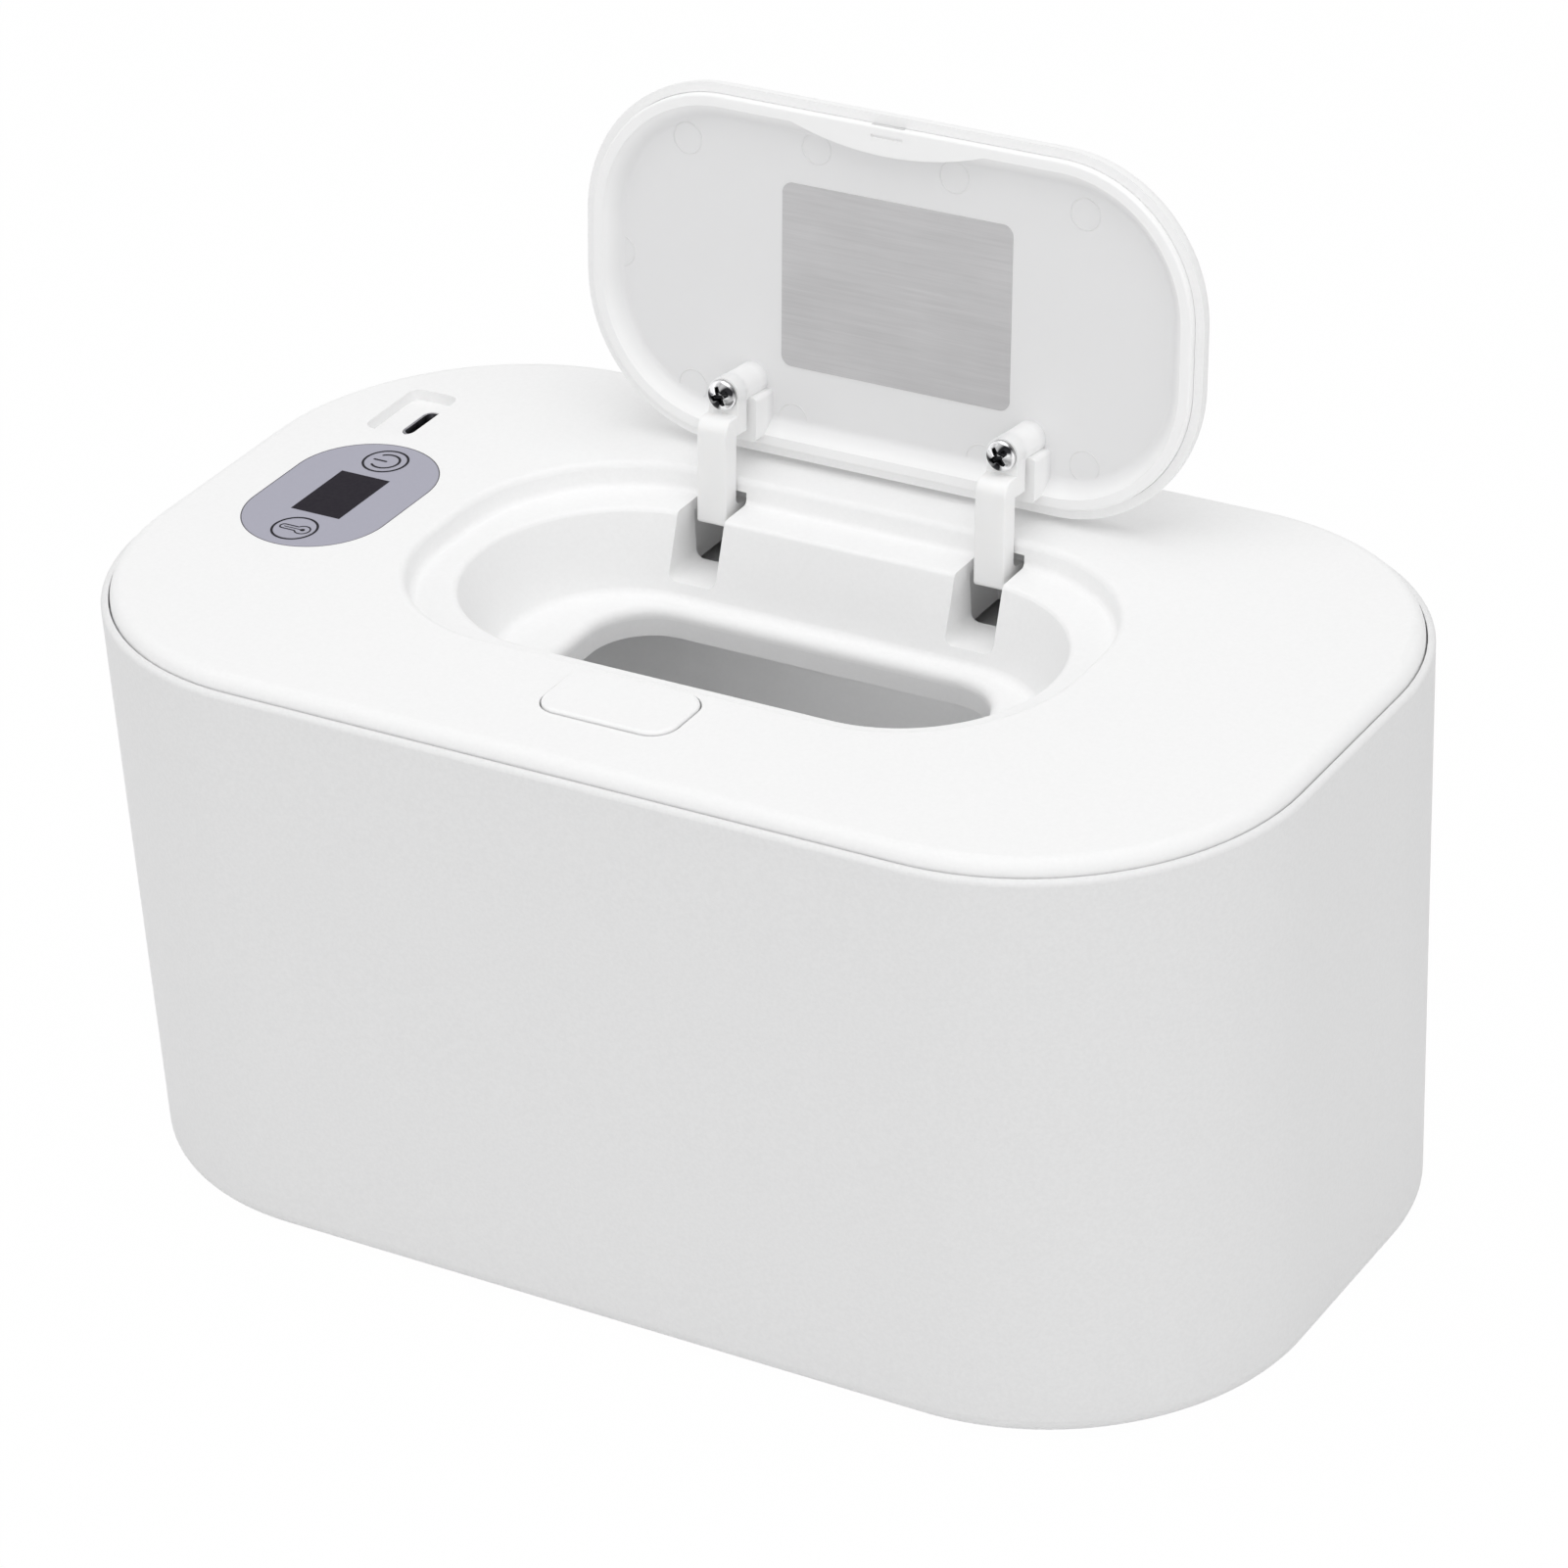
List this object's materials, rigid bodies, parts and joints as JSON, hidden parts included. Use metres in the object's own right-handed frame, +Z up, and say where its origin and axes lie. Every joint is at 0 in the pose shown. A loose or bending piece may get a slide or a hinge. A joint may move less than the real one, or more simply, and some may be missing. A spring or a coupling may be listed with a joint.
{
  "type": "baby wipe warmer",
  "caption": "Stadium-shaped tabletop wipe warmer with a tapered tub, a heated lift-off cover with touch panel, and a sprung lid on gooseneck arms over the dispensing well.",
  "frame": {"origin": "middle of the length and width, at the bottom of the feet", "axes": "+X along the length to the user's right, +Z up, front and latch button towards -Y"},
  "size_m": [0.2124, 0.125, 0.1668],
  "materials": {
    "white_shell": "fine matte moulding texture",
    "white_deck": "fine matte moulding texture",
    "white_inner": "smooth",
    "white_liner": "smooth satin",
    "white_button": "smooth satin",
    "slider_plastic": "smooth",
    "arm_nylon": "natural, slightly translucent",
    "panel_grey": "smooth satin overlay",
    "display_black": "glossy dark window",
    "display_body": "plain",
    "component_black": "plain",
    "board_green": "solder mask",
    "lead_plastic": "plain insulation",
    "film_amber": "polyimide film",
    "foot_rubber": "soft matte",
    "seal_rubber": "soft matte",
    "heat_aluminium": "rolled sheet",
    "fuse_metal": "tinned",
    "screw_steel": "zinc plated",
    "pin_steel": "ground",
    "spring_steel": "drawn wire",
    "socket_steel": "formed sheet",
    "arm_chrome": "bright plated"
  },
  "bodies": {
    "base": {"outer_body": "white_shell", "inner_tub": "white_inner", "feet": "foot_rubber"},
    "cover": {"top_deck": "white_deck", "inner_cover": "white_inner", "cover_gasket": "seal_rubber", "cover_screws": "screw_steel", "heat_plate": "heat_aluminium", "heating_film": "film_amber", "plate_screws": "screw_steel", "temperature_sensor": "component_black", "thermal_fuse": "fuse_metal", "control_board": "board_green", "display_module": "display_body", "display_lens": "display_black", "control_panel": "panel_grey", "touch_springs": "spring_steel", "board_screws": "screw_steel", "usb_socket": "socket_steel", "usb_board": "board_green", "heater_leads": "lead_plastic", "usb_leads": "lead_plastic", "hinge_pin": "pin_steel", "pin_clip": "spring_steel", "lid_spring_left": "spring_steel", "lid_spring_right": "spring_steel", "latch_guide": "white_inner", "latch_screws": "screw_steel", "slider_spring": "spring_steel", "button_springs": "spring_steel"},
    "lid": {"lid_shell": "white_deck", "lid_liner": "white_liner", "hinge_arm_left": "arm_nylon", "hinge_arm_right": "arm_nylon", "arm_screws": "arm_chrome"},
    "button": {"latch_button": "white_button"},
    "slider": {"latch_slider": "slider_plastic"}
  },
  "joints": [
    {"name": "cover_lift", "type": "slide", "parent": "base", "child": "cover", "axis": [0, 0, 1], "range_m": [0, 0.06]},
    {"name": "lid_hinge", "type": "hinge", "parent": "cover", "child": "lid", "pos_m": [0, 0.03825, 0.0986], "axis": [1, 0, 0], "range_deg": [0, 96.2], "stiffness_Nm_per_rad": 0.014, "springref_deg": -28.65, "deforming": ["lid_spring_left", "lid_spring_right"]},
    {"name": "button_press", "type": "slide", "parent": "cover", "child": "button", "axis": [0, 0, -1], "range_m": [0, 0.0014], "stiffness_N_per_m": 400, "springref_m": -0.002, "deforming": ["button_springs"]},
    {"name": "latch_slide", "type": "slide", "parent": "cover", "child": "slider", "axis": [0, -1, 0], "range_m": [0, 0.0007], "stiffness_N_per_m": 300, "springref_m": -0.001, "deforming": ["slider_spring"]}
  ],
  "couplings": [
    {"joint": "latch_slide", "follows": "button_press", "ratio": 0.5}
  ]
}
